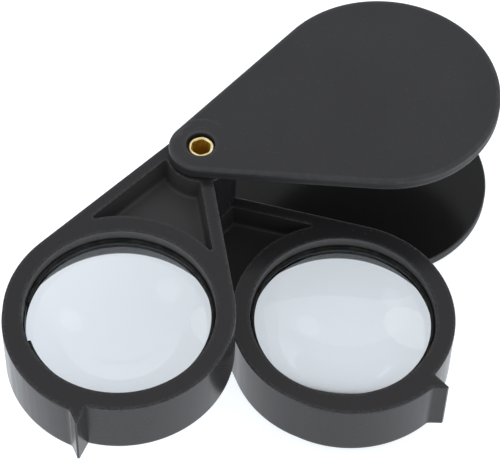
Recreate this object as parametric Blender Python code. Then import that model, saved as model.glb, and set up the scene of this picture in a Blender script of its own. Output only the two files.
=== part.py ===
"""Folding pocket magnifier: two lens holders that turn on one eyelet between two cover plates.

Metres, +Z up. The bottom cover lies flat on the plane z = 0 and its round end is centred on the
origin. The eyelet's axis is vertical and stands at the covers' narrow end, on the -X side.
The rest pose has both holders swung out: the upper one furthest, the lower one less.
"""
import math

import bmesh
import bpy
from mathutils import Vector

# Cover plates: two circles joined by their outer tangents.
COVER_BIG_R = 0.0248
COVER_SMALL_R = 0.00645
COVER_SPAN = 0.0415
COVER_SHIFT = 0.00035
COVER_T = 0.0026
COVER_OUTER_ROUND = 0.00055
COVER_INNER_ROUND = 0.0002

# Stack along the eyelet.
LAYER_GAP = 0.0003
HOLDER_H = 0.0138

# Eyelet and the holes it passes through.
EYELET_BORE_R = 0.0019
EYELET_TUBE_R = 0.0022
EYELET_RIM_R = 0.0027
PIVOT_HOLE_R = 0.0023
SINK_R = 0.00305
SINK_DEPTH = 0.0013
SINK_EDGE_DROP = 0.0001
RIM_RECESS = 0.00045
RIM_H = 0.0008
RIM_ROLL = 0.0005
RIM_LEDGE_EDGE = 0.0002

# Lens holders, in a frame with +X from the eyelet to the lens centre.
RING_SPAN = 0.04215
RING_R = 0.0230
BOSS_R = 0.0073
ARM_STRAIGHT_OFFSET = 0.0067
ARM_CUT_OFFSET = 0.00135
RIB_W = 0.0027
HOLDER_CHAMFER = 0.00022
CAM_START_DEG = -68.0
CAM_END_DEG = 0.6
CAM_RISE = 0.00165
CATCH_TIP_R = 0.02688
CATCH_TIP_DEG = (5.3, 6.3)
CATCH_FOOT_DEG = 7.7

# Pockets that leave a web in the arm.
POCKET_DEPTH = 0.0050
POCKET_DRAFT = 0.00045
POCKET_FILLET = 0.0006

# Lens seat, heights above the holder's underside.
SEAT_R = 0.01907
SEAT_Z = 0.0076
SEAT_EDGE = 0.0003
CLEAR_R = 0.0182
CLEAR_LOW_R = 0.0187
CLEAR_EDGE = 0.00025

# Lenses.
LENS_R = 0.01885
LENS_EDGE = 0.0024
LENS_BEVEL = 0.0002
UPPER_LENS_CURVE = 0.0660
LOWER_LENS_CURVE = 0.0600
SEAT_CLEARANCE = 0.0002

# Split rings that keep the lenses down.
KEEPER_OUTER_R = 0.0189
KEEPER_INNER_R = 0.01815
KEEPER_H = 0.0011
KEEPER_GAP = 0.0090
KEEPER_EDGE = 0.0002

# Rest pose, about +Z from the covers' own direction.
UPPER_REST_DEG = -134.3
LOWER_REST_DEG = -68.2
UPPER_KEEPER_GAP_DEG = -63.0
LOWER_KEEPER_GAP_DEG = -50.0

PIVOT = Vector((COVER_SHIFT - COVER_SPAN, 0.0, 0.0))
LOWER_Z = COVER_T + LAYER_GAP
UPPER_Z = LOWER_Z + HOLDER_H + LAYER_GAP
TOP_Z = UPPER_Z + HOLDER_H + LAYER_GAP
TOTAL_H = TOP_Z + COVER_T

# How finely the round shapes are drawn.
BIG_STEPS = 72
SMALL_STEPS = 28
BOSS_STEPS = 72
RING_NEAR_STEPS = 12
RING_FAR_STEPS = 32
CAM_STEPS = 22
POCKET_BOSS_STEPS = 14
POCKET_RING_STEPS = 24
ROUND_STEPS = 96
LENS_STEPS = 72
LENS_ARC_STEPS = 6
HOLE_STEPS = 48
RIM_STEPS = 8
OUTER_ROUND_STEPS = 4
INNER_ROUND_STEPS = 2
SMOOTH_DEG = 32.0
EPS = 0.001


def clear_scene():
    """Remove whatever the scene holds."""
    for obj in list(bpy.data.objects):
        bpy.data.objects.remove(obj, do_unlink=True)


# Materials

def material(name, colour, roughness, metallic=0.0):
    """A plain Principled material."""
    mat = bpy.data.materials.new(name)
    mat.use_nodes = True
    shader = mat.node_tree.nodes["Principled BSDF"]
    shader.inputs["Base Color"].default_value = (*colour, 1.0)
    shader.inputs["Roughness"].default_value = roughness
    shader.inputs["Metallic"].default_value = metallic
    mat.diffuse_color = (*colour, 1.0)
    return mat


def black_plastic(name):
    """Moulded charcoal plastic."""
    return material(name, (0.030, 0.029, 0.030), 0.46)


def brass(name):
    """Polished yellow brass."""
    return material(name, (0.80, 0.58, 0.24), 0.22, 1.0)


def lens_glass(name):
    """Clear optical glass."""
    mat = material(name, (0.86, 0.90, 0.93), 0.02)
    shader = mat.node_tree.nodes["Principled BSDF"]
    shader.inputs["Transmission Weight"].default_value = 1.0
    shader.inputs["IOR"].default_value = 1.517
    return mat


# Mesh helpers

def polar(radius, angle, centre=(0.0, 0.0)):
    """A point at an angle in radians."""
    return (centre[0] + radius * math.cos(angle), centre[1] + radius * math.sin(angle))


def arc(radius, start, end, steps, centre=(0.0, 0.0)):
    """Points along an arc, both ends included."""
    return [polar(radius, start + (end - start) * k / steps, centre) for k in range(steps + 1)]


def finish_mesh(name, bm, mat):
    """Turn a bmesh into a named object with smooth round faces."""
    bmesh.ops.recalc_face_normals(bm, faces=bm.faces)
    mesh = bpy.data.meshes.new(name)
    bm.to_mesh(mesh)
    bm.free()
    obj = bpy.data.objects.new(name, mesh)
    bpy.context.scene.collection.objects.link(obj)
    if mat is not None:
        mesh.materials.append(mat)
    for face in mesh.polygons:
        face.use_smooth = True
    mesh.set_sharp_from_angle(angle=math.radians(SMOOTH_DEG))
    return obj


def loft(name, levels, mat=None):
    """A solid through a stack of outlines: levels is a list of (z, points)."""
    bm = bmesh.new()
    rows = [[bm.verts.new((x, y, z)) for x, y in points] for z, points in levels]
    for low, high in zip(rows, rows[1:]):
        count = len(low)
        for k in range(count):
            after = (k + 1) % count
            bm.faces.new((low[k], low[after], high[after], high[k]))
    bm.faces.new(list(reversed(rows[0])))
    bm.faces.new(rows[-1])
    return finish_mesh(name, bm, mat)


def turned(name, profile, steps, mat=None):
    """A solid of revolution about Z from a closed or axis-ended (r, z) profile."""
    bm = bmesh.new()
    verts = [bm.verts.new((r, 0.0, z)) for r, z in profile]
    on_axis = profile[0][0] == 0.0
    edges = [bm.edges.new(pair) for pair in zip(verts, verts[1:])]
    if not on_axis:
        edges.append(bm.edges.new((verts[-1], verts[0])))
    bmesh.ops.spin(
        bm,
        geom=verts + edges,
        cent=(0.0, 0.0, 0.0),
        axis=(0.0, 0.0, 1.0),
        angle=2.0 * math.pi,
        steps=steps,
        use_merge=True,
    )
    bmesh.ops.remove_doubles(bm, verts=bm.verts, dist=1e-7)
    return finish_mesh(name, bm, mat)


def cutter(obj):
    """Hide a solid that only cuts."""
    obj.hide_render = True
    obj.display_type = 'WIRE'
    return obj


def combine(target, other, operation):
    """Join or cut with another solid."""
    cutter(other)
    mod = target.modifiers.new(other.name, 'BOOLEAN')
    mod.operation = operation
    mod.solver = 'EXACT'
    mod.object = other


def even_shading(obj):
    """Keep flat faces flat next to their narrow rounded edges."""
    mod = obj.modifiers.new("even_shading", 'WEIGHTED_NORMAL')
    mod.keep_sharp = True
    mod.weight = 100


def place(obj, parent, location, turn_deg=0.0):
    """Put an object at a location in its parent's frame."""
    obj.parent = parent
    obj.location = location
    obj.rotation_euler = (0.0, 0.0, math.radians(turn_deg))


# Covers

def cover_outline(inset):
    """Teardrop outline with its narrow end just behind the eyelet, round end towards +X."""
    big = COVER_BIG_R - inset
    small = COVER_SMALL_R - inset
    touch = math.acos((COVER_SMALL_R - COVER_BIG_R) / COVER_SPAN)
    points = arc(big, -touch, touch, BIG_STEPS, (COVER_SPAN - COVER_SHIFT, 0.0))
    points += arc(small, touch, 2.0 * math.pi - touch, SMALL_STEPS, (-COVER_SHIFT, 0.0))
    return points


def rounded_edge(radius, steps):
    """Pairs of (inset, drop) down a rounded edge, from the face to the side."""
    pairs = []
    for k in range(steps + 1):
        turn = 0.5 * math.pi * k / steps
        pairs.append((radius * (1.0 - math.sin(turn)), radius * (1.0 - math.cos(turn))))
    return pairs


def cover(name, z_low, outer_up):
    """One cover plate with a sink for the eyelet's rim in its outer face."""
    inner = rounded_edge(COVER_INNER_ROUND, INNER_ROUND_STEPS)
    outer = rounded_edge(COVER_OUTER_ROUND, OUTER_ROUND_STEPS)
    levels = [(drop, cover_outline(inset)) for inset, drop in inner]
    levels += [(COVER_T - drop, cover_outline(inset)) for inset, drop in reversed(outer)]
    if not outer_up:
        levels = [(COVER_T - z, points) for z, points in reversed(levels)]
    plate = loft(name, levels, black_plastic(name))
    floor = COVER_T - SINK_DEPTH
    profile = [
        (PIVOT_HOLE_R, -EPS),
        (PIVOT_HOLE_R, floor),
        (SINK_R, floor),
        (SINK_R, COVER_T - SINK_EDGE_DROP),
        (SINK_R + SINK_EDGE_DROP + EPS, COVER_T + EPS),
        (0.0, COVER_T + EPS),
    ]
    if not outer_up:
        profile = [(r, COVER_T - z) for r, z in profile]
    profile = [(0.0, profile[0][1])] + profile
    hole = turned(name + "_hole", profile, HOLE_STEPS)
    hole.parent = plate
    combine(plate, hole, 'DIFFERENCE')
    even_shading(plate)
    plate.location = PIVOT + Vector((0.0, 0.0, z_low))
    return plate


# Eyelet

def rim_profile(z_face, out):
    """Rolled rim from the tube's outer wall round to its bore; out is +1 for the top end."""
    mid_r = 0.5 * (EYELET_BORE_R + EYELET_RIM_R)
    half_w = 0.5 * (EYELET_RIM_R - EYELET_BORE_R)
    points = [(EYELET_TUBE_R, z_face - out * RIM_H)]
    points.append((EYELET_RIM_R - RIM_LEDGE_EDGE, z_face - out * RIM_H))
    for k in range(RIM_STEPS + 1):
        turn = math.pi * k / RIM_STEPS
        lift = RIM_ROLL * (math.sin(turn) - 1.0)
        points.append((mid_r + half_w * math.cos(turn), z_face + out * lift))
    return points


def eyelet():
    """Brass tube with a rolled rim at each end."""
    top = rim_profile(TOTAL_H - RIM_RECESS, 1.0)
    bottom = rim_profile(RIM_RECESS, -1.0)
    profile = top + list(reversed(bottom))
    obj = turned("eyelet", profile, HOLE_STEPS, brass("eyelet"))
    obj.location = PIVOT
    return obj


# Lens holders

def tangent_turn(offset):
    """Angle from the arm's axis to the normal of an arm edge that touches the ring."""
    return math.acos((offset - RING_R) / RING_SPAN)


def holder_outline(inset):
    """Arm, ring, rising cam and thumb catch as one outline."""
    ring = (RING_SPAN, 0.0)
    left = -tangent_turn(ARM_STRAIGHT_OFFSET)
    right = tangent_turn(ARM_CUT_OFFSET)
    cam_start = math.radians(CAM_START_DEG)
    cam_end = math.radians(CAM_END_DEG)
    points = [polar(ARM_STRAIGHT_OFFSET - inset, left)]
    points += arc(RING_R - inset, left, cam_start, RING_NEAR_STEPS, ring)
    for k in range(1, CAM_STEPS + 1):
        share = k / CAM_STEPS
        angle = cam_start + (cam_end - cam_start) * share
        points.append(polar(RING_R + CAM_RISE * share - inset, angle, ring))
    tip_r = CATCH_TIP_R - inset
    trim = math.degrees(inset / CATCH_TIP_R)
    points.append(polar(tip_r, math.radians(CATCH_TIP_DEG[0] + 0.5 * trim), ring))
    points.append(polar(tip_r, math.radians(CATCH_TIP_DEG[1] - trim), ring))
    foot = math.radians(CATCH_FOOT_DEG - trim)
    points += arc(RING_R - inset, foot, right, RING_FAR_STEPS, ring)
    points.append(polar(ARM_CUT_OFFSET - inset, right))
    return points


def chamfered_levels(outline, height, chamfer):
    """Levels of a prism with small chamfers at both faces."""
    return [
        (0.0, outline(chamfer)),
        (chamfer, outline(0.0)),
        (height - chamfer, outline(0.0)),
        (height, outline(chamfer)),
    ]


def boss(name):
    """Full-height cylinder round the eyelet."""
    def outline(inset):
        points = arc(BOSS_R - inset, 0.0, 2.0 * math.pi, BOSS_STEPS)
        return points[:-1]
    return loft(name, chamfered_levels(outline, HOLDER_H, HOLDER_CHAMFER))


def line_circle(normal_turn, offset, centre, radius, outer):
    """Where an arm line meets a circle; outer picks the point further along the arm."""
    normal = Vector((math.cos(normal_turn), math.sin(normal_turn)))
    along = Vector((abs(normal.y), -normal.x * math.copysign(1.0, normal.y)))
    foot = normal * offset
    gap = Vector(centre) - foot
    mid = gap.dot(along)
    half = math.sqrt(radius * radius - (gap.length_squared - mid * mid))
    return foot + along * (mid + half if outer else mid - half)


def pocket_outline(inset):
    """Space between the ribs, the boss and the ring, shrunk by an inset."""
    ring = (RING_SPAN, 0.0)
    left = -tangent_turn(ARM_STRAIGHT_OFFSET)
    right = tangent_turn(ARM_CUT_OFFSET)
    left_offset = ARM_STRAIGHT_OFFSET - RIB_W - inset
    right_offset = ARM_CUT_OFFSET - RIB_W - inset
    boss_r = BOSS_R + inset
    ring_r = RING_R + inset
    near_left = line_circle(left, left_offset, (0.0, 0.0), boss_r, True)
    near_right = line_circle(right, right_offset, (0.0, 0.0), boss_r, True)
    far_right = line_circle(right, right_offset, ring, ring_r, False)
    far_left = line_circle(left, left_offset, ring, ring_r, False)
    start = math.atan2(near_right.y, near_right.x)
    end = math.atan2(near_left.y, near_left.x)
    points = arc(boss_r, start, end, POCKET_BOSS_STEPS)
    start = math.atan2(far_left.y, far_left.x - RING_SPAN)
    end = math.atan2(far_right.y, far_right.x - RING_SPAN)
    points += arc(ring_r, start, end - 2.0 * math.pi, POCKET_RING_STEPS, ring)
    return points


def pocket(name, from_top):
    """Drafted cutter for one pocket."""
    levels = [
        (HOLDER_H + EPS, pocket_outline(0.0)),
        (HOLDER_H, pocket_outline(0.0)),
        (HOLDER_H - POCKET_DEPTH + POCKET_FILLET, pocket_outline(POCKET_DRAFT)),
        (HOLDER_H - POCKET_DEPTH, pocket_outline(POCKET_DRAFT + POCKET_FILLET)),
    ]
    if not from_top:
        levels = [(HOLDER_H - z, points) for z, points in levels]
    return loft(name, levels)


def seat_cutter(name):
    """Bore for the lens: the seat, and a drafted clear bore below it, with broken edges."""
    profile = [
        (0.0, -EPS),
        (CLEAR_LOW_R + CLEAR_EDGE + EPS, -EPS),
        (CLEAR_LOW_R, CLEAR_EDGE),
        (CLEAR_R, SEAT_Z),
        (SEAT_R, SEAT_Z),
        (SEAT_R, HOLDER_H - SEAT_EDGE),
        (SEAT_R + SEAT_EDGE + EPS, HOLDER_H + EPS),
        (0.0, HOLDER_H + EPS),
    ]
    return turned(name, profile, ROUND_STEPS)


def lens_holder(name, z_low, turn_deg):
    """Moulded holder: boss, ribbed arm, ring with a lens seat, and thumb catch."""
    levels = chamfered_levels(holder_outline, HOLDER_H, HOLDER_CHAMFER)
    body = loft(name, levels, black_plastic(name))
    hub = boss(name + "_boss")
    seat = seat_cutter(name + "_seat")
    circle = arc(PIVOT_HOLE_R, 0.0, 2.0 * math.pi, HOLE_STEPS)[:-1]
    hole = loft(name + "_hole", [(-EPS, circle), (HOLDER_H + EPS, circle)])
    upper_pocket = pocket(name + "_pocket_up", True)
    lower_pocket = pocket(name + "_pocket_low", False)
    combine(body, hub, 'UNION')
    for tool in (seat, hole, upper_pocket, lower_pocket):
        combine(body, tool, 'DIFFERENCE')
    even_shading(body)
    for tool in (hub, hole, upper_pocket, lower_pocket):
        tool.parent = body
    place(seat, body, (RING_SPAN, 0.0, 0.0))
    place(body, None, PIVOT + Vector((0.0, 0.0, z_low)), turn_deg)
    return body


# Lenses and split rings

def bulge(curve_r, radius):
    """How far a lens face stands beyond its rim at a given radius."""
    rim_r = LENS_R - LENS_BEVEL
    return math.sqrt(curve_r ** 2 - radius ** 2) - math.sqrt(curve_r ** 2 - rim_r ** 2)


def lens_height(curve_r):
    """Height of a lens's middle above the holder's underside."""
    return SEAT_Z + bulge(curve_r, CLEAR_R) + SEAT_CLEARANCE + 0.5 * LENS_EDGE


def lens_profile(curve_r):
    """Biconvex section from the bottom pole to the top pole, about its own middle."""
    half = 0.5 * LENS_EDGE
    rim_r = LENS_R - LENS_BEVEL
    limit = math.asin(rim_r / curve_r)
    depth = curve_r * math.cos(limit)
    upper = []
    for k in range(LENS_ARC_STEPS + 1):
        turn = limit * k / LENS_ARC_STEPS
        upper.append((curve_r * math.sin(turn), half + curve_r * math.cos(turn) - depth))
    upper[0] = (0.0, upper[0][1])
    upper.append((LENS_R, half - LENS_BEVEL))
    lower = [(r, -z) for r, z in upper]
    return lower + list(reversed(upper))


def lens(name, holder, curve_r):
    """Glass lens resting on the seat of its holder."""
    obj = turned(name, lens_profile(curve_r), LENS_STEPS, lens_glass(name))
    place(obj, holder, (RING_SPAN, 0.0, lens_height(curve_r)))
    return obj


def keeper_section(angle):
    """Ring section at an angle, as points in space."""
    edge = KEEPER_EDGE
    section = [
        (KEEPER_INNER_R, 0.0),
        (KEEPER_OUTER_R, 0.0),
        (KEEPER_OUTER_R, KEEPER_H - edge),
        (KEEPER_OUTER_R - edge, KEEPER_H),
        (KEEPER_INNER_R + edge, KEEPER_H),
        (KEEPER_INNER_R, KEEPER_H - edge),
    ]
    return [(r * math.cos(angle), r * math.sin(angle), z) for r, z in section]


def keeper(name, holder, gap_deg, curve_r):
    """Split ring pressed into the seat above the lens."""
    half_gap = 0.5 * KEEPER_GAP / KEEPER_INNER_R
    middle = math.radians(gap_deg)
    bm = bmesh.new()
    rows = []
    for k in range(ROUND_STEPS + 1):
        share = k / ROUND_STEPS
        angle = middle + half_gap + (2.0 * math.pi - 2.0 * half_gap) * share
        rows.append([bm.verts.new(co) for co in keeper_section(angle)])
    for row, ahead in zip(rows, rows[1:]):
        count = len(row)
        for k in range(count):
            after = (k + 1) % count
            bm.faces.new((row[k], row[after], ahead[after], ahead[k]))
    bm.faces.new(list(reversed(rows[0])))
    bm.faces.new(rows[-1])
    obj = finish_mesh(name, bm, black_plastic(name))
    base = lens_height(curve_r) + 0.5 * LENS_EDGE
    base += bulge(curve_r, KEEPER_INNER_R) + SEAT_CLEARANCE
    place(obj, holder, (RING_SPAN, 0.0, base))
    return obj


def main():
    """Build every part in its place."""
    clear_scene()
    cover("bottom_cover", 0.0, False)
    cover("top_cover", TOP_Z, True)
    eyelet()
    lower = lens_holder("lower_lens_holder", LOWER_Z, LOWER_REST_DEG)
    upper = lens_holder("upper_lens_holder", UPPER_Z, UPPER_REST_DEG)
    lens("lower_lens", lower, LOWER_LENS_CURVE)
    lens("upper_lens", upper, UPPER_LENS_CURVE)
    keeper("lower_lens_keeper", lower, LOWER_KEEPER_GAP_DEG, LOWER_LENS_CURVE)
    keeper("upper_lens_keeper", upper, UPPER_KEEPER_GAP_DEG, UPPER_LENS_CURVE)
    bpy.context.view_layer.update()


main()
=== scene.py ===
"""Looks of a folding pocket magnifier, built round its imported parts.

Metres, +Z up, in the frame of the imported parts. Each visible piece is drawn again in the place of
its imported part, with rounded edges and fine steps, and moves with the body that part belongs to.
Pieces are drawn about the eyelet's axis, or about the lens for lenses and split rings.
"""
import math

import bmesh
import bpy
from mathutils import Matrix, Vector
from mathutils.geometry import tessellate_polygon


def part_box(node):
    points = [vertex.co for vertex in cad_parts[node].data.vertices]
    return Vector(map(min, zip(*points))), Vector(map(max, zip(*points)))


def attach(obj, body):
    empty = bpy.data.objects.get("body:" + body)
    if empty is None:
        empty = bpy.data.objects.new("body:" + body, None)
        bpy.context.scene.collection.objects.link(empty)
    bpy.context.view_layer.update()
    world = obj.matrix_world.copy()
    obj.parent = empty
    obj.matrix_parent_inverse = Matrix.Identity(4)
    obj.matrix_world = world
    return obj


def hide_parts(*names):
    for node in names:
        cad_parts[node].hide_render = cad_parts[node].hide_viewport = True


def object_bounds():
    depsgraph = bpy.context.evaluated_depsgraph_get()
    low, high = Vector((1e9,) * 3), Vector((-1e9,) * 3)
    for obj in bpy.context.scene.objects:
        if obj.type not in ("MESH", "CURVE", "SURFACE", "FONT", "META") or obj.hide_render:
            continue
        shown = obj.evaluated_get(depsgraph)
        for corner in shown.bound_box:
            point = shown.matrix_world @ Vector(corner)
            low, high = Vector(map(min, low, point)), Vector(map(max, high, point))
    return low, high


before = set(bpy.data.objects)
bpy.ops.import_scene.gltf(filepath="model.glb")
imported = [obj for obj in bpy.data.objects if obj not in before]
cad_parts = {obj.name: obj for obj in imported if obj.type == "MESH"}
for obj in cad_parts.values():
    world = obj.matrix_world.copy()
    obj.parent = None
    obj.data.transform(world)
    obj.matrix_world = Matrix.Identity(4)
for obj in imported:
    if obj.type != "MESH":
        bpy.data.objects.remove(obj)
cad_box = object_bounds()

# Cover plates.
COVER_SMALL_R = 0.00645
COVER_OUTER_ROUND = 0.00062
COVER_INNER_ROUND = 0.00030
SINK_R = 0.00298
SINK_SHIFT = Vector((-0.00009, 0.00022))
SINK_DEPTH = 0.0013
SINK_LIP_W = 0.00042
SINK_LIP_H = 0.00005
SINK_LIP_TOP = (0.25, 0.6)

# Eyelet.
PIVOT_HOLE_R = 0.0023
EYELET_BORE_R = 0.0019
EYELET_TUBE_R = 0.0022
EYELET_RIM_R = 0.0027
EYELET_RIM_H = 0.0008
EYELET_ROLL = 0.00045
LIP_SIDES = 6
LIP_WAVE = 0.035
LIP_SHIFT = Vector((-0.00012, 0.00002))

# Lens holders, with +X from the eyelet to the lens.
RING_R = 0.0230
BOSS_R = 0.0073
ARM_STRAIGHT_OFFSET = 0.0067
ARM_CUT_OFFSET = 0.00135
RIB_W = 0.0027
HOLDER_ROUND = 0.00028
CAM_START_DEG = -68.0
CAM_END_DEG = 0.6
CAM_RISE = 0.00165
CATCH_TIP_R = 0.02688
CATCH_TIP_DEG = (5.3, 6.3)
CATCH_FOOT_DEG = 7.7
CATCH_HOLLOW = 1.25

# Pockets in the arm.
POCKET_DEPTH = 0.0050
POCKET_DRAFT = 0.00045
POCKET_FILLET = 0.0008
POCKET_CORNER = 0.00035
POCKET_ROUND = 0.00018

# Bore for the lens: the seat, and a drafted clear bore below it.
SEAT_R = 0.01907
SEAT_Z = 0.0076
SEAT_ROUND = 0.00020
CLEAR_R = 0.0182
CLEAR_LOW_R = 0.0187

# Lenses and split rings. The gap's middle is an angle from the arm's axis.
LENS_R = 0.01885
LENS_EDGE = 0.0024
LENS_BEVEL = 0.0002
# Width of the blue fringe painted at a lens's rim.
FRINGE_W = 0.00035
KEEPER_OUTER_R = 0.0189
KEEPER_INNER_R = 0.01815
KEEPER_GAP = 0.0090
KEEPER_ROUND = 0.00028
KEEPER_GAP_DEG = {"upper": -63.0, "lower": -50.0}

# Width of the worn strip beside an edge.
MARGIN = 0.0006

# Steps round the shapes.
EDGE_STEPS = 4
BIG_STEPS = 160
SMALL_STEPS = 64
RING_STEPS = 180
CORNER_STEPS = 6
CAM_STEPS = 48
CATCH_STEPS = 6
LENS_STEPS = 160
LENS_ARC_STEPS = 24
KEEPER_STEPS = 220
EYELET_STEPS = 96
ROLL_STEPS = 10

# Bands between rows, counted from the mouth of a lens seat or a pocket, that have a material of their
# own: the wall above the lens, lightened as painted light, the ledge and the bore below it, and a
# pocket's wall with its fillet.
SEAT_WALL_PAINTED_LIGHT_BANDS = (EDGE_STEPS, EDGE_STEPS + 1, EDGE_STEPS + 2)
DULL_BANDS = (EDGE_STEPS + 3, EDGE_STEPS + 4)
POCKET_BANDS = range(EDGE_STEPS + 1, 2 * EDGE_STEPS + 3)

# Limits: the sharpest smooth edge, the weight of large faces in the shading, the least corner of a
# pocket, points that count as one, and edges that count as parallel.
SMOOTH_DEG = 33.0
FACE_WEIGHT = 90
LEAST_CORNER = 0.00002
TINY_GAP = 0.0000001
PARALLEL = 0.0001

# Tone of the dull plastic in each holder, the lower one darker as painted shade between the covers, and
# how fast the rub marks' coordinates run: outwards per metre, and round the axis per radian.
DULL_TONE_WITH_PAINTED_SHADE = {"upper": 0.044, "lower": 0.026}
RUB_OUTWARDS = 5200.0
RUB_ROUND = 1.6

# Camera at the viewing angle.
CAMERA_AT = (-0.148605, -0.266131, 0.399859)
CAMERA_TURN_DEG = (35.939, -1.1771, -22.4816)
CAMERA_LENS_MM = 162.53
CAMERA_SENSOR_MM = 36.0
CAMERA_NEAR = 0.01

# Studio. Each soft light has a place, a size and its watts.
FLOOR_FLAT_R = 2.6
FLOOR_FLAT_SHARES = (0.05, 0.3, 1.0)
FLOOR_WALL_R = 0.5
FLOOR_DROP = 0.00007
FLOOR_STEPS = 96
FLOOR_RISE_STEPS = 16
SOFT_LIGHTS = {
    "ceiling_softbox": ((0.10, 0.10, 1.20), 1.0, 0.25),
    "left_softbox": ((-0.55, 0.25, 0.80), 0.34, 0.32),
    "right_softbox": ((0.60, 0.25, 0.75), 0.34, 0.32),
}
WORLD_COLOUR = (0.95, 0.97, 1.0)
WORLD_STRENGTH = 0.87


def middle(node):
    """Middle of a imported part's box."""
    low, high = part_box(node)
    return (low + high) / 2


PIVOT = middle("eyelet").to_2d()


# Plane geometry

def unit(angle):
    """Direction at an angle."""
    return Vector((math.cos(angle), math.sin(angle)))


def arc(radius, start, end, steps, centre=Vector((0.0, 0.0))):
    """Points along an arc, both ends included."""
    return [centre + radius * unit(start + (end - start) * k / steps) for k in range(steps + 1)]


def circle(radius, steps):
    """A closed circle about the origin."""
    return arc(radius, 0.0, math.tau, steps)[:-1]


def meeting(first, second, inset):
    """Where two edges, each a (start, direction) pair, meet once both have moved inwards."""
    (start_1, way_1), (start_2, way_2) = first, second
    start_1 = start_1 + inset * Vector((-way_1.y, way_1.x))
    start_2 = start_2 + inset * Vector((-way_2.y, way_2.x))
    cross = way_1.x * way_2.y - way_1.y * way_2.x
    if abs(cross) < PARALLEL:
        return start_2
    gap = start_2 - start_1
    return start_1 + way_1 * ((gap.x * way_2.y - gap.y * way_2.x) / cross)


def inset_points(points, inset):
    """A closed anticlockwise outline moved inwards. Edges that the inset uses up close to a point."""
    edges = [(start, (end - start).normalized()) for start, end in zip(points, points[1:] + points[:1])]
    alive = list(range(len(edges)))
    while True:
        corners = [meeting(edges[alive[j - 1]], edges[k], inset) for j, k in enumerate(alive)]
        left = [
            (corners[(j + 1) % len(alive)] - corners[j]).dot(edges[k][1]) for j, k in enumerate(alive)
        ]
        if min(left) >= -TINY_GAP:
            break
        alive.pop(left.index(min(left)))
    moved = []
    for k in range(len(points)):
        after = next((j for j, edge in enumerate(alive) if edge >= k), 0)
        moved.append(corners[after])
    return moved


# Solids

class Solid:
    """Rows joined into one closed mesh, with a value at each point for edge wearing and painted fringe.
    """

    def __init__(self):
        self.bm = bmesh.new()
        self.wear_and_painted_fringe = self.bm.verts.layers.float.new("wear_and_painted_fringe")

    def row(self, points, wear_and_painted_fringe=0.0):
        """One closed row of points in space."""
        made = [self.bm.verts.new(point) for point in points]
        for vert in made:
            vert[self.wear_and_painted_fringe] = wear_and_painted_fringe
        return made

    def join(self, upper, lower, material=0):
        """Quads between two closed rows of equal length."""
        for k in range(len(upper)):
            after = (k + 1) % len(upper)
            face = self.bm.faces.new((upper[k], lower[k], lower[after], upper[after]))
            face.material_index = material

    def wall(self, rows, second=(), third=()):
        """Joined rows from (flat points, height, wear) rows. Returns the first and the last.

        The bands numbered in second and in third have the second and the third material.
        """
        material = {k: 1 for k in second} | {k: 2 for k in third}
        made = [self.row([(x, y, z) for x, y in points], wear_and_painted_fringe) for points, z, wear_and_painted_fringe in rows]
        for k, (upper, lower) in enumerate(zip(made, made[1:])):
            self.join(upper, lower, material.get(k, 0))
        return made[0], made[-1]

    def cap(self, outer, holes=(), material=0):
        """A flat face inside outer and round its holes."""
        loops = [outer, *holes]
        verts = [vert for loop in loops for vert in loop]
        for corners in tessellate_polygon([[vert.co for vert in loop] for loop in loops]):
            self.bm.faces.new([verts[k] for k in corners]).material_index = material

    def tip(self, row, z):
        """A fan from a row to a point on the axis."""
        top = self.bm.verts.new((0.0, 0.0, z))
        for k in range(len(row)):
            self.bm.faces.new((row[k], row[(k + 1) % len(row)], top))

    def finish(self, name, materials, location, turn=0.0):
        """Make an object with smooth round faces and even flat ones, its mesh turned about +Z."""
        bmesh.ops.remove_doubles(self.bm, verts=self.bm.verts, dist=TINY_GAP)
        bmesh.ops.recalc_face_normals(self.bm, faces=self.bm.faces)
        self.bm.transform(Matrix.Rotation(turn, 4, 'Z'))
        mesh = bpy.data.meshes.new(name)
        self.bm.to_mesh(mesh)
        self.bm.free()
        for material in materials:
            mesh.materials.append(material)
        mesh.shade_smooth()
        mesh.set_sharp_from_angle(angle=math.radians(SMOOTH_DEG))
        obj = bpy.data.objects.new(name, mesh)
        bpy.context.scene.collection.objects.link(obj)
        obj.location = location
        even = obj.modifiers.new("even_shading", 'WEIGHTED_NORMAL')
        even.keep_sharp = True
        even.weight = FACE_WEIGHT
        return obj


def edge_rows(outline, face_z, up, radius):
    """Rows from a flat face's margin over its rounded edge to the wall. up is +1 for an upper face.

    outline gives the points at an inset into the material.
    """
    rows = [(outline(radius + MARGIN), face_z, 0.0)]
    for k in range(EDGE_STEPS + 1):
        turn = 0.5 * math.pi * k / EDGE_STEPS
        drop = radius * (1.0 - math.cos(turn))
        rows.append((outline(radius * (1.0 - math.sin(turn))), face_z - up * drop, 1.0))
    rows.append((outline(0.0), face_z - up * (radius + MARGIN), 0.0))
    return rows


def through_rows(outline, low, high, low_round, high_round):
    """Rows down a wall between two flat faces."""
    upper = edge_rows(outline, high, 1, high_round)
    lower = edge_rows(outline, low, -1, low_round)
    return upper + list(reversed(lower))


def hole_outline(radius, steps):
    """Outline function of a round hole."""
    def outline(inset):
        return circle(radius + inset, steps)
    return outline


# Cover plates

def cover_outline(inset):
    """Teardrop about the eyelet's axis, its round end towards +X."""
    low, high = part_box("top_cover")
    big_r = (high.y - low.y) / 2
    small = Vector((low.x - PIVOT.x + COVER_SMALL_R, 0.0))
    big = Vector((high.x - PIVOT.x - big_r, 0.0))
    touch = math.acos((COVER_SMALL_R - big_r) / (big - small).length)
    points = arc(big_r - inset, -touch, touch, BIG_STEPS, big)
    points += arc(COVER_SMALL_R - inset, touch, math.tau - touch, SMALL_STEPS, small)
    return points


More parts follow.
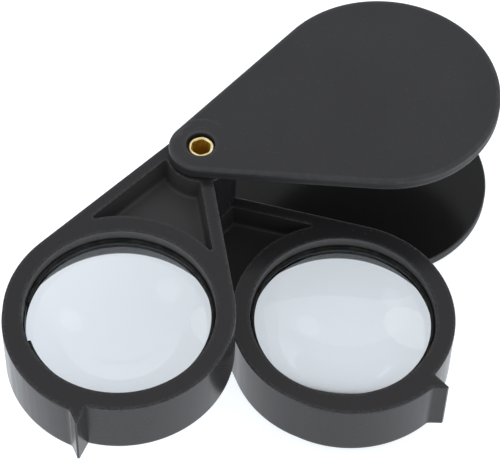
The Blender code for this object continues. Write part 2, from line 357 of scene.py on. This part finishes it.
def sink_rows(outer_z, inner_z, up):
    """Rows from the outer face's margin, over a faint raised lip, down the sink and the hole."""
    floor_z = outer_z - up * SINK_DEPTH
    lip_z = outer_z + up * SINK_LIP_H
    lip_from, lip_to = (SINK_R + share * SINK_LIP_W for share in SINK_LIP_TOP)

    def sink(radius):
        return [point + SINK_SHIFT for point in circle(radius, EYELET_STEPS)]

    rows = [
        (sink(SINK_R + SINK_LIP_W + MARGIN), outer_z, 0.0),
        (sink(SINK_R + SINK_LIP_W), outer_z, 0.6),
        (sink(lip_to), lip_z, 1.0),
        (sink(lip_from), lip_z, 1.0),
        (sink(SINK_R), outer_z - up * SINK_LIP_H, 0.5),
        (sink(SINK_R), floor_z, 0.0),
        (circle(PIVOT_HOLE_R, EYELET_STEPS), floor_z, 0.0),
    ]
    inner = edge_rows(hole_outline(PIVOT_HOLE_R, EYELET_STEPS), inner_z, -up, COVER_INNER_ROUND)
    return rows + list(reversed(inner))


def cover_plate(name, node, body, up, materials):
    """A cover plate. up is +1 where its outer face looks up; its inner face has the second material."""
    low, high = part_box(node)
    outer_z, inner_z = (high.z - low.z, 0.0) if up > 0 else (0.0, high.z - low.z)
    solid = Solid()
    outer = edge_rows(cover_outline, outer_z, up, COVER_OUTER_ROUND)
    inner = edge_rows(cover_outline, inner_z, -up, COVER_INNER_ROUND)
    rows = outer + list(reversed(inner))
    first, last = solid.wall(rows, [len(rows) - 2])
    rows = sink_rows(outer_z, inner_z, up)
    sink_first, sink_last = solid.wall(rows, [len(rows) - 2])
    solid.cap(first, [sink_first])
    solid.cap(last, [sink_last], 1)
    obj = solid.finish(name, materials, (PIVOT.x, PIVOT.y, low.z))
    stand_in(obj, node, body)
    return obj


# Eyelet

def lip_points(radius, share, z):
    """A circle that turns into the eyelet's uneven crimped lip as share goes to 1."""
    points = []
    for k in range(EYELET_STEPS):
        angle = math.tau * k / EYELET_STEPS
        wave = 1.0 + share * LIP_WAVE * math.cos(LIP_SIDES * angle)
        point = radius * wave * unit(angle) + share * LIP_SHIFT
        points.append((point.x, point.y, z))
    return points


def eyelet_piece(materials):
    """Brass tube with a rolled rim at each end; its bore has the second material."""
    low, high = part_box("eyelet")
    solid = Solid()
    rows = []
    middle_r = 0.5 * (EYELET_BORE_R + EYELET_RIM_R)
    half_w = 0.5 * (EYELET_RIM_R - EYELET_BORE_R)
    for end_z, up in ((high.z, 1.0), (low.z, -1.0)):
        ledge = end_z - up * EYELET_RIM_H
        end = [lip_points(EYELET_TUBE_R, 0.0, ledge), lip_points(EYELET_RIM_R - half_w, 0.0, ledge)]
        for k in range(ROLL_STEPS + 1):
            turn = math.pi * k / ROLL_STEPS
            share = k / ROLL_STEPS
            z = end_z + up * EYELET_ROLL * (math.sin(turn) - 1.0)
            end.append(lip_points(middle_r + half_w * math.cos(turn), share, z))
        flare_z = end_z - up * 2.0 * EYELET_RIM_H
        end.append(lip_points(EYELET_BORE_R, 0.0, flare_z))
        rows += end if up > 0 else list(reversed(end))
    made = [solid.row(points) for points in rows]
    bore_from = len(made) // 2 - 2
    for k in range(len(made)):
        in_bore = bore_from <= k <= len(made) - bore_from - 2
        solid.join(made[k], made[(k + 1) % len(made)], 1 if in_bore else 0)
    obj = solid.finish("brass_eyelet", materials, (PIVOT.x, PIVOT.y, 0.0))
    stand_in(obj, "eyelet", "case")
    return obj


# Lens holders

def tangent_turn(offset, span):
    """Angle from the arm's axis to the normal of an arm edge that touches the ring."""
    return math.acos((offset - RING_R) / span)


def line_circle(normal_turn, offset, centre, radius, outer):
    """Where an arm line meets a circle; outer picks the point further along the arm."""
    normal = unit(normal_turn)
    along = Vector((abs(normal.y), -normal.x * math.copysign(1.0, normal.y)))
    foot = normal * offset
    gap = centre - foot
    mid = gap.dot(along)
    half = math.sqrt(radius * radius - (gap.length_squared - mid * mid))
    return foot + along * (mid + half if outer else mid - half)


def bearing(point, centre=Vector((0.0, 0.0))):
    """Angle of a point seen from a centre."""
    return math.atan2(point.y - centre.y, point.x - centre.x)


def catch_points(ring):
    """The thumb catch: a hollow rising flank, a narrow tip and a steep back."""
    foot_r = RING_R + CAM_RISE
    start, (tip_from, tip_to) = CAM_END_DEG, CATCH_TIP_DEG
    points = []
    for k in range(1, CATCH_STEPS + 1):
        share = k / CATCH_STEPS
        angle = math.radians(start + (tip_from - start) * share)
        radius = foot_r + (CATCH_TIP_R - foot_r) * share ** CATCH_HOLLOW
        points.append(ring + radius * unit(angle))
    points.append(ring + CATCH_TIP_R * unit(math.radians(tip_to)))
    return points


def holder_profile(span):
    """Boss, arms, ring, rising cam and catch as one closed outline."""
    ring = Vector((span, 0.0))
    left = -tangent_turn(ARM_STRAIGHT_OFFSET, span)
    right = tangent_turn(ARM_CUT_OFFSET, span)
    cam_start, cam_end = math.radians(CAM_START_DEG), math.radians(CAM_END_DEG)
    points = arc(RING_R, left, cam_start, RING_STEPS // 8, ring)
    for k in range(1, CAM_STEPS + 1):
        share = k / CAM_STEPS
        angle = cam_start + (cam_end - cam_start) * share
        points.append(ring + (RING_R + CAM_RISE * share) * unit(angle))
    points += catch_points(ring)
    points += arc(RING_R, math.radians(CATCH_FOOT_DEG), right, RING_STEPS // 3, ring)
    origin = Vector((0.0, 0.0))
    start = bearing(line_circle(right, ARM_CUT_OFFSET, origin, BOSS_R, True))
    end = bearing(line_circle(left, ARM_STRAIGHT_OFFSET, origin, BOSS_R, True))
    points += arc(BOSS_R, start, end + math.tau, BIG_STEPS // 2)
    return points


def pocket_points(span, inset):
    """Outline of the space between ribs, boss and ring, with round corners, shrunk by an inset."""
    core = max(inset + LEAST_CORNER, POCKET_CORNER)
    reach = core - inset
    ring, origin = Vector((span, 0.0)), Vector((0.0, 0.0))
    left = -tangent_turn(ARM_STRAIGHT_OFFSET, span)
    right = tangent_turn(ARM_CUT_OFFSET, span)
    left_offset = ARM_STRAIGHT_OFFSET - RIB_W - core
    right_offset = ARM_CUT_OFFSET - RIB_W - core
    near_left = line_circle(left, left_offset, origin, BOSS_R + core, True)
    near_right = line_circle(right, right_offset, origin, BOSS_R + core, True)
    far_right = line_circle(right, right_offset, ring, RING_R + core, False)
    far_left = line_circle(left, left_offset, ring, RING_R + core, False)

    def corner(point, start, end):
        turn = (end - start) % math.tau
        return arc(reach, start, start + turn, CORNER_STEPS, point)

    points = arc(BOSS_R + inset, bearing(near_right), bearing(near_left), RING_STEPS // 8)[1:-1]
    points += corner(near_left, bearing(-near_left), left)
    points += corner(far_left, left, bearing(ring, far_left))
    start, end = bearing(far_left, ring), bearing(far_right, ring) - math.tau
    points += arc(RING_R + inset, start, end, RING_STEPS // 6, ring)[1:-1]
    points += corner(far_right, bearing(ring, far_right), right)
    points += corner(near_right, right, bearing(-near_right))
    return points


def pocket_rows(span, face_z, up):
    """Rows from a face's margin over the pocket's edge, down its drafted wall to its floor."""
    def outline(inset):
        return pocket_points(span, -inset)
    rows = edge_rows(outline, face_z, up, POCKET_ROUND)
    wall_depth = POCKET_DEPTH - POCKET_FILLET
    rows.append((pocket_points(span, POCKET_DRAFT), face_z - up * wall_depth, 0.0))
    for k in range(1, EDGE_STEPS + 1):
        turn = 0.5 * math.pi * k / EDGE_STEPS
        inset = POCKET_DRAFT + POCKET_FILLET * (1.0 - math.cos(turn))
        depth = wall_depth + POCKET_FILLET * math.sin(turn)
        rows.append((pocket_points(span, inset), face_z - up * depth, 0.0))
    return rows


def seat_rows(span, height):
    """Rows down the round opening: its upper edge, the wall and ledge of the seat, the bore below."""
    ring = Vector((span, 0.0))

    def bore(radius):
        return lambda inset: arc(radius + inset, 0.0, math.tau, RING_STEPS, ring)[:-1]

    rows = edge_rows(bore(SEAT_R), height, 1, SEAT_ROUND)
    rows.append((bore(SEAT_R)(0.0), SEAT_Z, 0.0))
    rows.append((bore(CLEAR_R)(0.0), SEAT_Z, 0.0))
    return rows + list(reversed(edge_rows(bore(CLEAR_LOW_R), 0.0, -1, HOLDER_ROUND)))


def holder_piece(side, body, materials):
    """A moulded lens holder: boss, ribbed arm with a pocket on each side, ring and catch."""
    node = side + "_lens_holder"
    low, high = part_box(node)
    to_lens = middle(side + "_lens").to_2d() - PIVOT
    span, height = to_lens.length, high.z - low.z
    profile = holder_profile(span)

    def outline(inset):
        return inset_points(profile, inset)

    solid = Solid()
    outer = solid.wall(through_rows(outline, 0.0, height, HOLDER_ROUND, HOLDER_ROUND))
    hole = hole_outline(PIVOT_HOLE_R, EYELET_STEPS)
    pivot = solid.wall(through_rows(hole, 0.0, height, COVER_INNER_ROUND, COVER_INNER_ROUND))
    seat = solid.wall(seat_rows(span, height), SEAT_WALL_PAINTED_LIGHT_BANDS, DULL_BANDS)
    top_pocket = solid.wall(pocket_rows(span, height, 1), (), POCKET_BANDS)
    low_pocket = solid.wall(pocket_rows(span, 0.0, -1), (), POCKET_BANDS)
    solid.cap(outer[0], [pivot[0], seat[0], top_pocket[0]])
    solid.cap(outer[1], [pivot[1], seat[1], low_pocket[0]])
    solid.cap(top_pocket[1], (), 2)
    solid.cap(low_pocket[1], (), 2)
    obj = solid.finish(side + "_holder_moulding", materials, (PIVOT.x, PIVOT.y, low.z), bearing(to_lens))
    stand_in(obj, node, body)
    return obj


# Lenses and split rings

def lens_piece(side, body, materials):
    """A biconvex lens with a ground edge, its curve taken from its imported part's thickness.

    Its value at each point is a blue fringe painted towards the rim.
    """
    node = side + "_lens"
    low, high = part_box(node)
    half = 0.5 * LENS_EDGE
    rim_r = LENS_R - LENS_BEVEL
    sag = 0.5 * (high.z - low.z) - half
    curve = (rim_r ** 2 + sag ** 2) / (2.0 * sag)
    solid = Solid()
    rows = []
    for up in (1.0, -1.0):
        half_rows = []
        for k in range(1, LENS_ARC_STEPS + 1):
            radius = rim_r * math.sin(0.5 * math.pi * k / LENS_ARC_STEPS)
            rise = math.sqrt(curve ** 2 - radius ** 2) - math.sqrt(curve ** 2 - rim_r ** 2)
            fringe = max(0.0, 1.0 - (rim_r - radius) / FRINGE_W)
            half_rows.append((circle(radius, LENS_STEPS), up * (half + rise), fringe))
        half_rows.append((circle(LENS_R, LENS_STEPS), up * (half - LENS_BEVEL), 1.0))
        rows += half_rows if up > 0 else list(reversed(half_rows))
    made = [solid.row([(x, y, z) for x, y in points], wear_and_painted_fringe) for points, z, wear_and_painted_fringe in rows]
    for k, (upper, lower) in enumerate(zip(made, made[1:])):
        on_edge = LENS_ARC_STEPS - 1 <= k <= LENS_ARC_STEPS + 1
        solid.join(upper, lower, 1 if on_edge else 0)
    solid.tip(made[0], half + sag)
    solid.tip(made[-1], -half - sag)
    obj = solid.finish(side + "_lens_glass", materials, middle(node))
    obj.visible_shadow = False
    stand_in(obj, node, body)
    return obj


def keeper_section(height):
    """Rounded section of a split ring as (radius, height) pairs."""
    low, high = KEEPER_INNER_R + KEEPER_ROUND, KEEPER_OUTER_R - KEEPER_ROUND
    centres = [(high, height - KEEPER_ROUND), (low, height - KEEPER_ROUND)]
    centres += [(low, KEEPER_ROUND), (high, KEEPER_ROUND)]
    section = []
    for k, (r, z) in enumerate(centres):
        for point in arc(KEEPER_ROUND, 0.5 * math.pi * k, 0.5 * math.pi * (k + 1), EDGE_STEPS):
            section.append((r + point.x, z + point.y))
    return section


def keeper_piece(side, body, material):
    """A split ring that keeps the lens in its seat."""
    node = side + "_lens_keeper"
    low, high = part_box(node)
    centre = middle(side + "_lens")
    section = keeper_section(high.z - low.z)
    half_gap = 0.5 * KEEPER_GAP / KEEPER_INNER_R
    start = bearing(centre - PIVOT.to_3d()) + math.radians(KEEPER_GAP_DEG[side]) + half_gap
    turn = math.tau - 2.0 * half_gap
    solid = Solid()
    rows = []
    for k in range(KEEPER_STEPS + 1):
        way = unit(start + turn * k / KEEPER_STEPS)
        rows.append(solid.row([(r * way.x, r * way.y, z) for r, z in section]))
    for row, ahead in zip(rows, rows[1:]):
        solid.join(row, ahead)
    solid.bm.faces.new(rows[0])
    solid.bm.faces.new(list(reversed(rows[-1])))
    obj = solid.finish(side + "_split_ring", [material], (centre.x, centre.y, low.z))
    stand_in(obj, node, body)
    return obj


def stand_in(obj, node, body):
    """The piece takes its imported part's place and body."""
    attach(obj, body)
    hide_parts(node)


# Materials

class Shading:
    """A material's nodes, with short calls for the ones used here."""

    def __init__(self, name):
        self.material = bpy.data.materials.new(name)
        self.material.use_nodes = True
        self.tree = self.material.node_tree
        self.shader = self.tree.nodes["Principled BSDF"]

    def feed(self, socket, value):
        """Link an output to a socket, or set its plain value."""
        if isinstance(value, bpy.types.NodeSocket):
            self.tree.links.new(value, socket)
        else:
            socket.default_value = value

    def surface(self, **values):
        """Inputs of the Principled shader."""
        for name, value in values.items():
            self.feed(self.shader.inputs[name.replace("_", " ")], value)

    def place(self, scale=(1.0, 1.0, 1.0)):
        """The piece's own coordinates, stretched."""
        coords = self.tree.nodes.new("ShaderNodeTexCoord")
        stretch = self.tree.nodes.new("ShaderNodeVectorMath")
        stretch.operation = 'MULTIPLY'
        self.feed(stretch.inputs[0], coords.outputs["Object"])
        stretch.inputs[1].default_value = scale
        return stretch.outputs[0]

    def axes(self):
        """X, Y and Z of the piece's own coordinates."""
        split = self.tree.nodes.new("ShaderNodeSeparateXYZ")
        self.feed(split.inputs[0], self.place())
        return list(split.outputs)

    def radius(self):
        """Distance from the piece's upright axis."""
        x, y, _ = self.axes()
        squares = self.maths('ADD', self.maths('MULTIPLY', x, x), self.maths('MULTIPLY', y, y))
        return self.maths('SQRT', squares)

    def rings(self):
        """Coordinates that run fast outwards and slowly round the piece's upright axis."""
        x, y, _ = self.axes()
        join = self.tree.nodes.new("ShaderNodeCombineXYZ")
        self.feed(join.inputs[0], self.maths('MULTIPLY', self.radius(), RUB_OUTWARDS))
        self.feed(join.inputs[1], self.maths('MULTIPLY', self.maths('ARCTAN2', y, x), RUB_ROUND))
        return join.outputs[0]

    def wear_and_painted_fringe(self):
        """The value drawn into the mesh for worn edges, and on a lens for its painted fringe."""
        made = self.tree.nodes.new("ShaderNodeAttribute")
        made.attribute_name = "wear_and_painted_fringe"
        return made.outputs["Fac"]

    def noise(self, where, scale, detail, roughness=0.5):
        """Smooth noise from 0 to 1."""
        made = self.tree.nodes.new("ShaderNodeTexNoise")
        self.feed(made.inputs["Vector"], where)
        made.inputs["Scale"].default_value = scale
        made.inputs["Detail"].default_value = detail
        made.inputs["Roughness"].default_value = roughness
        return made.outputs["Fac"]

    def cells(self, where, scale):
        """Distance from scattered points."""
        made = self.tree.nodes.new("ShaderNodeTexVoronoi")
        self.feed(made.inputs["Vector"], where)
        made.inputs["Scale"].default_value = scale
        return made.outputs["Distance"]

    def remap(self, value, low, high, to_low=0.0, to_high=1.0):
        """A value's range moved smoothly to another range."""
        made = self.tree.nodes.new("ShaderNodeMapRange")
        made.interpolation_type = 'SMOOTHSTEP'
        for socket, number in zip(made.inputs, (value, low, high, to_low, to_high)):
            self.feed(socket, number)
        return made.outputs[0]

    def maths(self, operation, first, second=0.0):
        """One operation on one or two values."""
        made = self.tree.nodes.new("ShaderNodeMath")
        made.operation = operation
        self.feed(made.inputs[0], first)
        self.feed(made.inputs[1], second)
        return made.outputs[0]

    def mix(self, amount, first, second):
        """A colour between two."""
        made = self.tree.nodes.new("ShaderNodeMix")
        made.data_type = 'RGBA'
        self.feed(made.inputs[0], amount)
        self.feed(made.inputs[6], first)
        self.feed(made.inputs[7], second)
        return made.outputs[2]

    def tint(self, base, amount, most, colour):
        """A colour with another mixed in by an amount, up to the share called most."""
        return self.mix(self.maths('MULTIPLY', amount, most), base, colour)

    def bump(self, height, strength, distance):
        """A bumped normal."""
        made = self.tree.nodes.new("ShaderNodeBump")
        made.inputs["Strength"].default_value = strength
        made.inputs["Distance"].default_value = distance
        self.feed(made.inputs["Height"], height)
        return made.outputs["Normal"]


def scuffs(s):
    """Rub marks round the eyelet, on its +Y side only."""
    near = s.remap(s.radius(), 0.0038, 0.0046)
    far = s.remap(s.radius(), 0.0062, 0.0076, 1.0, 0.0)
    marks = s.remap(s.noise(s.rings(), scale=0.35, detail=3.0, roughness=0.6), 0.50, 0.64)
    there = s.remap(s.axes()[1], 0.0030, 0.0044)
    return s.maths('MULTIPLY', s.maths('MULTIPLY', s.maths('MULTIPLY', near, far), marks), there)


def cover_plastic():
    """Matt charcoal plastic with a fine spark grain, pits, worn edges and rub marks."""
    s = Shading("cover_grained_plastic")
    dark = (0.016, 0.0155, 0.016, 1.0)
    light = (0.026, 0.025, 0.026, 1.0)
    cool = (0.016, 0.0165, 0.019, 1.0)
    pit = (0.050, 0.049, 0.050, 1.0)
    pale_edge = (0.060, 0.058, 0.061, 1.0)
    rubbed = (0.070, 0.066, 0.072, 1.0)
    grain = s.noise(s.place(), scale=2600.0, detail=3.0, roughness=0.65)
    mottle = s.noise(s.place(), scale=420.0, detail=3.0, roughness=0.6)
    cloud = s.noise(s.place(), scale=45.0, detail=2.0)
    pits = s.remap(s.cells(s.place(), scale=750.0), 0.10, 0.22, 1.0, 0.0)
    broken = s.remap(mottle, 0.35, 0.70)
    worn = s.maths('MULTIPLY', s.wear_and_painted_fringe(), s.maths('ADD', s.maths('MULTIPLY', broken, 0.6), 0.4))
    base = s.mix(grain, dark, light)
    base = s.tint(base, mottle, 0.45, cool)
    base = s.tint(base, pits, 0.22, pit)
    base = s.tint(base, worn, 0.35, pale_edge)
    base = s.tint(base, scuffs(s), 0.55, rubbed)
    rough = s.remap(cloud, 0.30, 0.70, 0.50, 0.58)
    rough = s.maths('ADD', rough, s.maths('MULTIPLY', grain, 0.10))
    rough = s.maths('SUBTRACT', rough, s.maths('MULTIPLY', worn, 0.20))
    height = s.maths('ADD', grain, s.maths('MULTIPLY', mottle, 0.6))
    height = s.maths('SUBTRACT', height, s.maths('MULTIPLY', pits, 0.5))
    s.surface(Base_Color=base, Roughness=rough, Specular_IOR_Level=0.42)
    s.surface(Normal=s.bump(height, strength=0.35, distance=0.00006))
    return s.material


def inner_face():
    """Smoother plastic of the covers' inner faces, painted darker as shade between the covers, with
    faint rub marks.
    """
    s = Shading("cover_inner_plastic_painted_shade")
    dark = (0.0095, 0.0092, 0.0087, 1.0)
    light = (0.0120, 0.0116, 0.0110, 1.0)
    rub = s.noise(s.rings(), scale=0.30, detail=2.0, roughness=0.5)
    grain = s.noise(s.place(), scale=1700.0, detail=2.0, roughness=0.6)
    rough = s.remap(rub, 0.35, 0.70, 0.165, 0.19)
    s.surface(Base_Color=s.mix(rub, dark, light), Roughness=rough, Specular_IOR_Level=0.22)
    s.surface(Normal=s.bump(grain, strength=0.15, distance=0.00004))
    return s.material


def holder_plastic():
    """Glossier moulded plastic: satin faces, drawn streaks down the sides, nicked edges, and pale edges
    that are partly worn and partly a painted highlight.
    """
    s = Shading("holder_moulded_plastic")
    dark = (0.018, 0.017, 0.0175, 1.0)
    light = (0.025, 0.0235, 0.024, 1.0)
    cool = (0.021, 0.0215, 0.024, 1.0)
    pale_edge = (0.070, 0.068, 0.069, 1.0)
    grain = s.noise(s.place(), scale=1900.0, detail=3.0, roughness=0.6)
    streak = s.noise(s.place((1.0, 1.0, 0.05)), scale=520.0, detail=4.0, roughness=0.62)
    broad = s.noise(s.place((1.0, 1.0, 0.08)), scale=95.0, detail=2.0)
    nicks = s.remap(s.noise(s.place(), scale=1100.0, detail=2.0), 0.55, 0.72)
    worn = s.maths('MULTIPLY', s.wear_and_painted_fringe(), s.remap(grain, 0.35, 0.62))
    base = s.mix(grain, dark, light)
    base = s.tint(base, broad, 0.5, cool)
    # The pale edge colour marks worn edges, made stronger as a painted highlight along them.
    base = s.tint(base, worn, 0.45, pale_edge)
    rough = s.remap(streak, 0.25, 0.75, 0.13, 0.24)
    rough = s.maths('ADD', rough, s.maths('MULTIPLY', broad, 0.08))
    height = s.maths('ADD', s.maths('MULTIPLY', streak, 0.8), s.maths('MULTIPLY', grain, 0.35))
    nicked = s.maths('MULTIPLY', s.maths('MULTIPLY', nicks, s.wear_and_painted_fringe()), 1.2)
    height = s.maths('SUBTRACT', height, nicked)
    s.surface(Base_Color=base, Roughness=rough, Specular_IOR_Level=0.26)
    s.surface(Normal=s.bump(height, strength=0.22, distance=0.00008))
    return s.material


def seat_wall():
    """Satin wall of the seat above the lens, lightened far above the holder's plastic as painted light.
    """
    s = Shading("holder_seat_wall_painted_light")
    # Painted light: these greys are several times lighter than the holder's plastic, mixed by a fine
    # speckle.
    dark = (0.100, 0.099, 0.101, 1.0)
    light = (0.140, 0.139, 0.142, 1.0)
    speckle = s.noise(s.place(), scale=900.0, detail=3.0, roughness=0.65)
    smooth = s.noise(s.place((1.0, 1.0, 0.3)), scale=240.0, detail=3.0)
    rough = s.remap(smooth, 0.3, 0.7, 0.50, 0.64)
    s.surface(Base_Color=s.mix(speckle, dark, light), Roughness=rough)
    s.surface(Normal=s.bump(speckle, strength=0.2, distance=0.00004))
    return s.material


def dull_plastic(side, tone):
    """Dull moulded plastic of a holder's pockets, lens ledge and bore, in a tone of grey; the lower
    holder's is painted shade.
    """
    s = Shading(side + "_holder_dull_plastic_shade_toned")
    dark = (0.84 * tone, 0.81 * tone, 0.82 * tone, 1.0)
    light = (1.16 * tone, 1.12 * tone, 1.14 * tone, 1.0)
    grain = s.noise(s.place(), scale=1300.0, detail=3.0, roughness=0.65)
    rough = s.remap(grain, 0.3, 0.7, 0.48, 0.62)
    s.surface(Base_Color=s.mix(grain, dark, light), Roughness=rough, Specular_IOR_Level=0.30)
    s.surface(Normal=s.bump(grain, strength=0.3, distance=0.00005))
    return s.material


def keeper_plastic():
    """Dull black split ring with a mottled drawn surface."""
    s = Shading("split_ring_plastic")
    dark = (0.005, 0.005, 0.0045, 1.0)
    light = (0.020, 0.020, 0.018, 1.0)
    grain = s.noise(s.place(), scale=1500.0, detail=4.0, roughness=0.7)
    spots = s.noise(s.place(), scale=520.0, detail=2.0)
    base = s.mix(s.remap(spots, 0.35, 0.68), dark, light)
    rough = s.remap(grain, 0.3, 0.7, 0.40, 0.62)
    s.surface(Base_Color=base, Roughness=rough, Specular_IOR_Level=0.15)
    s.surface(Normal=s.bump(grain, strength=0.4, distance=0.0001))
    return s.material


def rim_brass():
    """Pale yellow brass of the rolled rims, with fine crimping marks."""
    s = Shading("brass_rim")
    yellow = (0.84, 0.68, 0.30, 1.0)
    pale = (0.96, 0.88, 0.60, 1.0)
    marked = (0.50, 0.33, 0.10, 1.0)
    marks = s.noise(s.place((1.0, 1.0, 0.3)), scale=1800.0, detail=2.0, roughness=0.5)
    cloud = s.noise(s.place(), scale=500.0, detail=2.0)
    base = s.mix(s.remap(cloud, 0.35, 0.70), yellow, pale)
    base = s.mix(s.remap(marks, 0.60, 0.78, 0.0, 0.5), base, marked)
    rough = s.remap(marks, 0.3, 0.7, 0.20, 0.36)
    s.surface(Base_Color=base, Roughness=rough, Metallic=1.0)
    s.surface(Normal=s.bump(marks, strength=0.08, distance=0.00003))
    return s.material


def bore_brass():
    """Duller amber brass inside the tube."""
    s = Shading("brass_bore")
    amber = (0.78, 0.48, 0.04, 1.0)
    bright = (0.94, 0.66, 0.10, 1.0)
    stain = s.noise(s.place((1.0, 1.0, 0.4)), scale=900.0, detail=3.0, roughness=0.6)
    rough = s.remap(stain, 0.3, 0.7, 0.34, 0.50)
    s.surface(Base_Color=s.mix(stain, amber, bright), Roughness=rough, Metallic=0.85)
    s.surface(Normal=s.bump(stain, strength=0.2, distance=0.00006))
    return s.material


def lens_glass():
    """Glass tinted grey-blue as painted shade, bluer at the rim as a painted fringe, and lightly
    smeared.
    """
    s = Shading("lens_optical_glass")
    # The tint is painted shade of the floor seen through the lens.
    clear = (0.731, 0.754, 0.775, 1.0)
    # A blue fringe painted towards the rim.
    blue = (0.52, 0.57, 0.80, 1.0)
    smear = s.noise(s.place((1.0, 2.2, 1.0)), scale=160.0, detail=3.0, roughness=0.55)
    base = s.mix(s.remap(s.wear_and_painted_fringe(), 0.0, 1.0), clear, blue)
    rough = s.remap(smear, 0.50, 0.80, 0.0, 0.02)
    s.surface(Base_Color=base, Roughness=rough, Transmission_Weight=1.0, IOR=1.517)
    s.surface(Normal=s.bump(smear, strength=0.02, distance=0.00002))
    return s.material


def ground_edge():
    """Ground glass of the lens's edge."""
    s = Shading("lens_ground_edge")
    dark = (0.17, 0.19, 0.19, 1.0)
    light = (0.25, 0.28, 0.28, 1.0)
    frost = s.noise(s.place(), scale=3000.0, detail=2.0)
    rough = s.remap(frost, 0.3, 0.7, 0.5, 0.7)
    s.surface(Base_Color=s.mix(frost, dark, light), Roughness=rough)
    s.surface(Normal=s.bump(frost, strength=0.4, distance=0.00005))
    return s.material


# Studio

def floor_material():
    """Pale floor that glows a little, like a light table."""
    s = Shading("pale_floor")
    dark = (0.54, 0.555, 0.58, 1.0)
    light = (0.56, 0.575, 0.60, 1.0)
    cloud = s.noise(s.place(), scale=3.0, detail=2.0)
    s.surface(Base_Color=s.mix(cloud, dark, light), Roughness=0.85, Specular_IOR_Level=0.1)
    s.surface(Emission_Color=(0.93, 0.965, 1.0, 1.0), Emission_Strength=0.82)
    return s.material


def studio_floor():
    """A round floor that turns up into a wall all round."""
    solid = Solid()
    radii = [(FLOOR_FLAT_R * share, 0.0) for share in FLOOR_FLAT_SHARES]
    for k in range(1, FLOOR_RISE_STEPS + 1):
        turn = 0.5 * math.pi * k / FLOOR_RISE_STEPS
        rise = FLOOR_WALL_R * (1.0 - math.cos(turn))
        radii.append((FLOOR_FLAT_R + FLOOR_WALL_R * math.sin(turn), rise))
    rows = [solid.row([(x, y, z) for x, y in circle(r, FLOOR_STEPS)]) for r, z in radii]
    for inner, outer in zip(rows, rows[1:]):
        solid.join(inner, outer)
    solid.tip(rows[0], 0.0)
    floor = solid.finish("studio_floor", [floor_material()], (0.0, 0.0, -FLOOR_DROP))


def softbox(name, at, aim, size, watts):
    """A round soft light that looks at a point."""
    data = bpy.data.lights.new(name, 'AREA')
    data.shape = 'DISK'
    data.size = size
    data.energy = watts
    light = bpy.data.objects.new(name, data)
    bpy.context.scene.collection.objects.link(light)
    light.location = at
    light.rotation_euler = (Vector(aim) - Vector(at)).to_track_quat('-Z', 'Y').to_euler()


def lights():
    """Soft lights overhead and from both sides, and a pale surround."""
    centre = (cad_box[0] + cad_box[1]) / 2
    for name, (at, size, watts) in SOFT_LIGHTS.items():
        softbox(name, at, centre, size, watts)
    world = bpy.data.worlds.new("surround")
    bpy.context.scene.world = world
    world.use_nodes = True
    surround = world.node_tree.nodes["Background"]
    surround.inputs["Color"].default_value = (*WORLD_COLOUR, 1.0)
    surround.inputs["Strength"].default_value = WORLD_STRENGTH


def camera():
    """Camera at the viewing angle."""
    data = bpy.data.cameras.new("camera")
    data.sensor_fit = 'HORIZONTAL'
    data.sensor_width = CAMERA_SENSOR_MM
    data.lens = CAMERA_LENS_MM
    data.clip_start = CAMERA_NEAR
    obj = bpy.data.objects.new("camera", data)
    bpy.context.scene.collection.objects.link(obj)
    obj.location = CAMERA_AT
    obj.rotation_euler = [math.radians(turn) for turn in CAMERA_TURN_DEG]
    bpy.context.scene.camera = obj


def main():
    """Build every piece, the studio and the camera."""
    cover = [cover_plastic(), inner_face()]
    holder = [holder_plastic(), seat_wall()]
    keeper = keeper_plastic()
    glass = [lens_glass(), ground_edge()]
    cover_plate("bottom_cover_plate", "bottom_cover", "case", -1, cover)
    cover_plate("top_cover_plate", "top_cover", "top_plate", 1, cover)
    eyelet_piece([rim_brass(), bore_brass()])
    for side in ("lower", "upper"):
        body = side + "_holder"
        holder_piece(side, body, holder + [dull_plastic(side, DULL_TONE_WITH_PAINTED_SHADE[side])])
        lens_piece(side, body, glass)
        keeper_piece(side, body, keeper)
    studio_floor()
    lights()
    camera()
    bpy.context.scene.view_settings.view_transform = 'Standard'


main()
